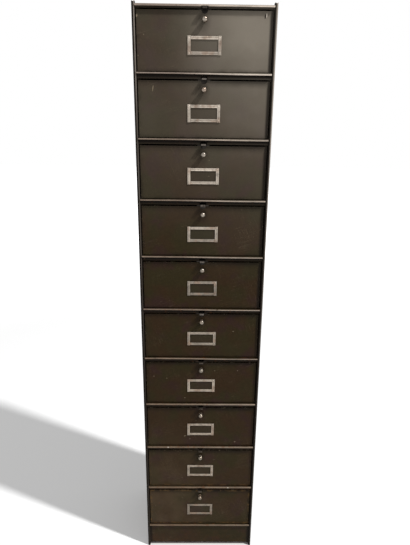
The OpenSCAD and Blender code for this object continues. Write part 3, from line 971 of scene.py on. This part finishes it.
def circle(sides):
    """Angles all round, in radians."""
    return [2 * math.pi * step / sides for step in range(sides)]


def add_turned(work, profile, centre, sides=40, bored=False):
    """A turned piece about the Y axis through centre: its profile holds (radius, y) points.

    A bored piece is closed by joining its last ring to its first.
    """
    rings = []
    for radius, y in profile:
        turns = circle(sides) if radius > 0.0 else [0.0]
        rings.append([work.verts.new((centre.x + radius * math.cos(turn), y,
                                      centre.z + radius * math.sin(turn))) for turn in turns])
    join_rings(work, rings + rings[:1] if bored else rings)


def arc(centre_u, centre_v, radius, start, end, steps):
    """Points on an arc from one angle to another, in degrees."""
    turns = [math.radians(start + (end - start) * step / steps) for step in range(steps + 1)]
    return [(centre_u + radius * math.cos(turn), centre_v + radius * math.sin(turn))
            for turn in turns]


# ---------------------------------------------------------------- label frames

RIVET_INSET = 5.0 * MM               # from the frame's edges to a rivet's middle
RIVET_HEAD_R = 2.0 * MM
RIVET_RISE = 0.4 * MM                # of a rivet's head over the beads
BEAD_SHEET = 0.8 * MM                # thickness of the frame's sheet
BAR_SEAM = 0.15 * MM                 # between the upright bars and the level ones


def bead_outline(width, height, walled):
    """Section of a frame bar: two pressed beads with a groove between, over an open card slot.

    Walled bars close the slot on the outside with a wall down to the flap.
    """
    slot = height - BEAD_SHEET - 0.2 * MM
    half = width / 2
    wall = 0.4 * MM                  # how far in the outer wall starts
    round_start, round_r = 0.64 * MM, 0.96 * MM
    first = [(round_start + round_r * (1 - math.cos(math.radians(turn))),
              height - round_r * (1 - math.sin(math.radians(turn))))
             for turn in (0, 22, 45, 67, 90)]
    groove = [(half - 1.1 * MM, height), (half - 0.7 * MM, height - 0.25 * MM),
              (half - 0.35 * MM, height - 0.62 * MM), (half + 0.35 * MM, height - 0.62 * MM),
              (half + 0.7 * MM, height - 0.25 * MM), (half + 1.1 * MM, height)]
    last = [(width - 1.5 * MM, height), (width - 0.8 * MM, height - 0.2 * MM),
            (width - 0.25 * MM, height - 0.55 * MM), (width, height - 0.95 * MM)]
    outline = [(wall, 0.0 if walled else slot)] + first + groove + last + [(width, slot)]
    if walled:
        outline += [(wall + BEAD_SHEET, slot), (wall + BEAD_SHEET, 0.0)]
    return outline


def label_frame(row, material):
    """A pressed frame for a paper card, riveted on, with the card slot open on the right."""
    low, high = LABEL_BOX[row]
    height = FACE_Y - (low.y + RIVET_RISE)
    x_axis, z_axis = Vector((1, 0, 0)), Vector((0, 0, 1))
    out = Vector((0, -1, 0))
    upright = z_axis * (high.z - low.z)
    level = x_axis * (high.x - low.x - 2 * (LABEL_BAR + BAR_SEAM))
    closed = bead_outline(LABEL_BAR, height, True)
    opened = bead_outline(LABEL_BAR, height, False)
    work = bmesh.new()
    add_prism(work, closed, Vector((low.x, FACE_Y, low.z)), x_axis, out, upright)
    add_prism(work, opened, Vector((high.x, FACE_Y, low.z)), -x_axis, out, upright)
    inside_x = low.x + LABEL_BAR + BAR_SEAM
    for z, inward in ((low.z, z_axis), (high.z, -z_axis)):
        add_prism(work, closed, Vector((inside_x, FACE_Y, z)), inward, out, level)
    for x in (low.x + RIVET_INSET, high.x - RIVET_INSET):
        for z in (low.z + RIVET_INSET, high.z - RIVET_INSET):
            add_rivet(work, Vector((x, 0, z)), low.y, high.y)
    bmesh.ops.recalc_face_normals(work, faces=work.faces)
    node = row_name("label_frame", row)
    finished(work, node + ".pressed", material, row_name("flap", row), node)


def add_rivet(work, centre, front_y, rear_y):
    """A domed head in front of the frame, a shank and a flat head behind the flap."""
    dome_rise = 1.0 * MM
    shank_r = 1.2 * MM
    dome = [(RIVET_HEAD_R * math.sin(math.radians(turn)),
             front_y + dome_rise * (1 - math.cos(math.radians(turn))))
            for turn in (0, 25, 50, 72, 90)]
    rear = FACE_Y + FLAP_SHEET + 0.02 * MM
    profile = dome + [(shank_r, front_y + dome_rise), (shank_r, rear), (RIVET_HEAD_R, rear),
                      (RIVET_HEAD_R * 0.92, rear_y - 0.1 * MM), (RIVET_HEAD_R * 0.7, rear_y),
                      (0.0, rear_y)]
    add_turned(work, profile, centre, sides=20)


# ---------------------------------------------------------------- knobs

def knob(row, material):
    """A turned knob: a ball on a flared neck with a collar, its shank and nut behind the flap."""
    low, high = KNOB_BOX[row]
    centre = (low + high) / 2
    ball_r = (high.z - low.z) / 2
    ball_y = low.y + ball_r
    neck_r = 3.7 * MM
    collar_r = 5.5 * MM
    collar_y = FACE_Y - 1.2 * MM
    collar_round = 0.35 * MM
    leave = math.degrees(math.asin((neck_r + 0.6 * MM) / ball_r))
    ball = [(ball_r * math.sin(math.radians(turn)), ball_y - ball_r * math.cos(math.radians(turn)))
            for turn in range(0, 180 - int(leave), 8)]
    neck_y = ball[-1][1]
    span = collar_y - neck_y
    neck = [(neck_r + wider, neck_y + span * share)
            for wider, share in ((0.3 * MM, 0.30), (0.0, 0.5), (0.25 * MM, 0.75), (1.0 * MM, 0.95))]
    collar = [(collar_r - collar_round, collar_y), (collar_r, collar_y + collar_round),
              (collar_r, FACE_Y), (KNOB_SHANK_R, FACE_Y)]
    tail = [(KNOB_SHANK_R, high.y - 0.5 * MM), (KNOB_SHANK_R - 0.5 * MM, high.y), (0.0, high.y)]
    work = bmesh.new()
    add_turned(work, ball + neck + collar + tail, centre)
    add_nut(work, centre, high.y - 4.0 * MM, high.y - 1.0 * MM)
    bmesh.ops.recalc_face_normals(work, faces=work.faces)
    node = row_name("knob", row)
    finished(work, node + ".turned", material, row_name("flap", row), node)


def add_nut(work, centre, front_y, rear_y):
    """A hexagon nut on the knob's shank, with chamfered corners."""
    corner_r = 4.6 * MM
    chamfer = 0.4 * MM
    profile = [(KNOB_SHANK_R, front_y), (corner_r - chamfer, front_y),
               (corner_r, front_y + chamfer), (corner_r, rear_y - chamfer),
               (corner_r - chamfer, rear_y), (KNOB_SHANK_R, rear_y)]
    add_turned(work, profile, centre, sides=6, bored=True)


# ---------------------------------------------------------------- top nose over its notch

def nose_bridge(material):
    """The rolled sheet that carries the top nose's upper half across the thumb notch."""
    foot = -1.0 * MM                 # the thumb tab rises to 1.5 mm below the nose's centre
    head = 1.75 * MM                 # under the top panel's sheet
    half_w = 8.95 * MM
    start, end = (180 - math.degrees(math.asin(level / NOSE_R)) for level in (foot, head))
    outline = arc(0.0, 0.0, NOSE_R, start, end, 6) + [(0.0, head), (0.0, foot)]
    centre = Vector((-half_w, NOSE_FRONT_Y + NOSE_R, TOP_BOX[1].z - NOSE_R))
    work = bmesh.new()
    add_prism(work, outline, centre, Vector((0, 1, 0)), Vector((0, 0, 1)),
              Vector((2 * half_w, 0, 0)))
    bmesh.ops.recalc_face_normals(work, faces=work.faces)
    finished(work, "top_nose.bridge", material, "cabinet")


# ---------------------------------------------------------------- springs

def add_wire(work, points, radius, sides=8):
    """A round wire along points, with closed ends."""
    slant = Vector((0.31, 0.85, 0.42))   # no part of the wire runs this way
    rings = []
    for index, point in enumerate(points):
        before = points[max(index - 1, 0)]
        after = points[min(index + 1, len(points) - 1)]
        ahead = (after - before).normalized()
        side = ahead.cross(slant).normalized()
        other = ahead.cross(side)
        rings.append([work.verts.new(point + radius * (math.cos(turn) * side
                                                       + math.sin(turn) * other))
                      for turn in circle(sides)])
    join_rings(work, rings, ends=True)


def latch_spring(row, material):
    """A coil spring that pulls the latch up: hooked on the knob's shank and the latch's foot."""
    wire_r = 0.4 * MM
    coil_r = 1.9 * MM
    hook_r = KNOB_SHANK_R + wire_r
    coil_turns = 6
    per_turn = 14                    # points in a turn of the coil
    knob_low, knob_high = KNOB_BOX[row]
    latch_low, latch_high = LATCH_BOX[row]
    centre = (knob_low + knob_high) / 2
    y = knob_high.y - wire_r - 0.1 * MM
    foot_z = latch_low.z + 3.0 * MM
    coil_top = centre.z - hook_r - 2.6 * MM
    coil_bottom = foot_z + 1.5 * MM
    points = [Vector((hook_r * math.sin(math.radians(turn)), y,
                      centre.z - hook_r * math.cos(math.radians(turn))))
              for turn in range(-300, 1, 20)]
    steps = coil_turns * per_turn
    for step in range(steps + 1):
        turn = 2 * math.pi * step / per_turn
        points.append(Vector((coil_r * math.sin(turn), y - coil_r * math.cos(turn) + coil_r * 0.4,
                              coil_top + (coil_bottom - coil_top) * step / steps)))
    points.append(Vector((0.0, y - coil_r, foot_z + 0.4 * MM)))
    points.append(Vector((0.0, latch_high.y + 0.1 * MM, foot_z)))
    work = bmesh.new()
    add_wire(work, points, wire_r)
    bmesh.ops.recalc_face_normals(work, faces=work.faces)
    piece = smooth_piece(work, row_name("spring", row), material)
    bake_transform(piece)


# ---------------------------------------------------------------- dressing

def flap_bends(row):
    """The outer corners of a flap's folded top and sides, and of its guide strap."""
    fold_r = 1.4 * MM
    strap_r = 0.9 * MM
    strap_half_w = 7.9 * MM
    strap_y = FACE_Y + 3.9 * MM          # behind it there is only the strap
    high = FLAP_BOX[row][1]
    folds = either(in_planes(y=FACE_Y, z=high.z), in_planes(y=FACE_Y, x=high.x))
    strap_side = in_planes(x=strap_half_w)

    def strap_corners(start, end):
        """Upright edges on the strap's sides, away from the flap's sheet."""
        upright = near(start.y, end.y) and not near(start.z, end.z)
        return upright and min(start.y, end.y) > strap_y and strap_side(start, end)

    return (fold_r, folds), (strap_r, strap_corners)


def latch_bends(row):
    """The bend between plate and tab with the tab's curled lip, and the lip's lower corners."""
    bend_r = 1.9 * MM
    corner_r = 2.6 * MM
    tab_half_w = 6.4 * MM
    lip_h = 4.5 * MM
    low, high = LATCH_BOX[row]
    tab_bends = either(in_planes(y=low.y, z=high.z), in_planes(y=high.y, z=high.z))
    lip_corners = in_planes(x=tab_half_w, z=high.z - lip_h)
    return (bend_r, tab_bends), (corner_r, lip_corners)


def dress_carcass():
    """The sides, back, plinth, top and hinge rods."""
    sides = panel_enamel("side enamel", along=1, post=True)
    for node in ("left_side", "right_side"):
        formed_copy(node, sides, CARCASS_EDGE)
    back = panel_enamel("back enamel", along=0, darkness=0.15)
    formed_copy("back_panel", back, CARCASS_EDGE)
    plinth = panel_enamel("plinth enamel", darkness=0.08, rust=0.15, corners=True)
    fold_r = 1.5 * MM
    plinth_low = PLINTH_BOX[0]
    plinth_fold = in_planes(y=plinth_low.y, z=plinth_low.z + PLINTH_GUSSET)
    formed_copy("plinth", plinth, CARCASS_EDGE, [(fold_r, plinth_fold)])
    top = shelf_finish("top finish", TOP_BOX[1].z - NOSE_R)
    formed_copy("top_panel", top, CARCASS_EDGE)
    nose_bridge(top)
    rods = steel_shaded_behind_faces("rod steel", ROD_STEEL)
    formed_copy("hinge_rods", rods, ROD_EDGE)


def dress_rows():
    """Each row's shelf and flap, with the flap's latch, label frame, knob and spring."""
    frames = nickel_plate("frame nickel", FRAME_NICKEL, roughness=0.36, handled_and_top_lit=True)
    knobs = nickel_plate("knob nickel", KNOB_NICKEL, roughness=0.30)
    top_latch_shaded = steel_shaded_behind_faces("top latch shaded steel", TOP_LATCH_SHADED_STEEL)
    middle_latches = steel_shaded_behind_faces("latch steel", LATCH_STEEL)
    low_latches = steel_shaded_behind_faces("low latch steel", LOW_LATCH_STEEL)
    springs = steel_shaded_behind_faces("spring steel", SPRING_STEEL)
    for row in ROWS:
        node = row_name("shelf", row)
        nose_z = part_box(node)[1].z - NOSE_R
        shelf = shelf_finish(f"shelf finish {row:02d}", nose_z, NOSE_CHIPS.get(row))
        formed_copy(node, shelf, CARCASS_EDGE)
        formed_copy(row_name("flap", row), flap_enamel(row), FLAP_EDGE,
                    flap_bends(row))
        # the top row's latch takes steel painted darker as shade
        latches = top_latch_shaded if row == 1 else middle_latches if row < 7 else low_latches
        formed_copy(row_name("latch", row), latches, LATCH_EDGE, latch_bends(row))
        label_frame(row, frames)
        knob(row, knobs)
        latch_spring(row, springs)


# ---------------------------------------------------------------- stage, camera and light

def shows_as_white(nodes):
    """1 for rays that look at the backdrop, straight or in a reflection."""
    ray = nodes.add("LightPath")
    return nodes.most(ray.outputs["Is Camera Ray"], ray.outputs["Is Glossy Ray"],
                      ray.outputs["Is Transmission Ray"])


def build_floor():
    """A pale floor that keeps the cabinet's soft shadow and otherwise runs out to white."""
    size = 30.0
    mesh = bpy.data.meshes.new("floor")
    corners = [(-size, -size, 0), (size, -size, 0), (size, size, 0), (-size, size, 0)]
    mesh.from_pydata(corners, [], [(0, 1, 2, 3)])
    floor = put_in_scene("floor", mesh)
    material = bpy.data.materials.new("pale floor")
    material.use_nodes = True
    nodes = Nodes(material.node_tree)
    matt = nodes.add("BsdfDiffuse")
    # painted shade under the cabinet: a darker floor colour, and no lift there
    soft = 4 * MM
    spot = nodes.add("TexCoord").outputs["Object"]
    place = nodes.axes(spot)
    across = nodes.fall(nodes.math("ABSOLUTE", place[0]), INNER_X - soft, INNER_X + soft)
    under = nodes.times(across, nodes.step(place[1], FACE_Y - 12 * MM, FACE_Y + 2 * MM),
                        nodes.fall(place[1], BACK_Y - soft, BACK_Y + soft))
    open_floor = nodes.rest(under)
    nodes.feed(matt.inputs["Color"], nodes.mix(open_floor, SHADED_FLOOR, FLOOR_GREY))
    lift = nodes.add("Emission")
    lift.inputs["Color"].default_value = FULL_WHITE
    runs_out = nodes.step(nodes.vector("LENGTH", spot), 2.2, 5.0, 0.20, 1.0)
    nodes.feed(lift.inputs["Strength"], nodes.times(shows_as_white(nodes), open_floor, runs_out))
    both = nodes.add("AddShader")
    nodes.feed(both.inputs[0], matt.outputs[0])
    nodes.feed(both.inputs[1], lift.outputs[0])
    end = nodes.add("OutputMaterial")
    nodes.feed(end.inputs["Surface"], both.outputs[0])
    mesh.materials.append(material)


def build_surroundings():
    """Even grey light from all round, seen as white behind the cabinet."""
    even_light = 0.38
    world = bpy.data.worlds.new("studio")
    bpy.context.scene.world = world
    world.use_nodes = True
    nodes = Nodes(world.node_tree)
    even = nodes.add("Background")
    even.inputs["Color"].default_value = FULL_WHITE
    nodes.feed(even.inputs["Strength"], nodes.blend(shows_as_white(nodes), even_light, 1.0))
    end = nodes.add("OutputWorld")
    nodes.feed(end.inputs["Surface"], even.outputs[0])


def build_lamp():
    """One distant lamp high on the right, a little in front."""
    lamp = bpy.data.lights.new("key", "POINT")
    lamp.energy = 6760.0
    lamp.shadow_soft_size = 0.28
    put_in_scene("key", lamp).location = (7.3, -3.25, 11.1)


def build_camera():
    """A standing person's view, just left of the middle, tilted down over the whole column."""
    focal_px = 430.5
    image_h = 545.0
    distance = 1.2550
    place = Vector((-0.0064, FRONT_Y - distance, 1.4278))
    yaw, pitch, roll = math.radians(0.688), math.radians(16.332), math.radians(-0.698)
    ahead = Vector((math.sin(yaw) * math.cos(pitch), math.cos(yaw) * math.cos(pitch),
                    -math.sin(pitch)))
    level_right = Vector((math.cos(yaw), -math.sin(yaw), 0.0))
    level_down = ahead.cross(level_right)
    right = math.cos(roll) * level_right + math.sin(roll) * level_down
    down = -math.sin(roll) * level_right + math.cos(roll) * level_down
    camera_data = bpy.data.cameras.new("camera")
    camera_data.sensor_fit = "AUTO"
    camera_data.sensor_width = 36.0
    camera_data.lens = camera_data.sensor_width * focal_px / image_h
    camera_data.clip_start = 0.01
    camera = put_in_scene("camera", camera_data)
    turn = Matrix((right, -down, -ahead)).transposed()
    camera.matrix_world = Matrix.Translation(place) @ turn.to_4x4()
    bpy.context.scene.camera = camera


bpy.context.scene.view_settings.view_transform = "Standard"
build_camera()
build_floor()
build_surroundings()
build_lamp()
dress_carcass()
dress_rows()

bpy.context.view_layer.update()
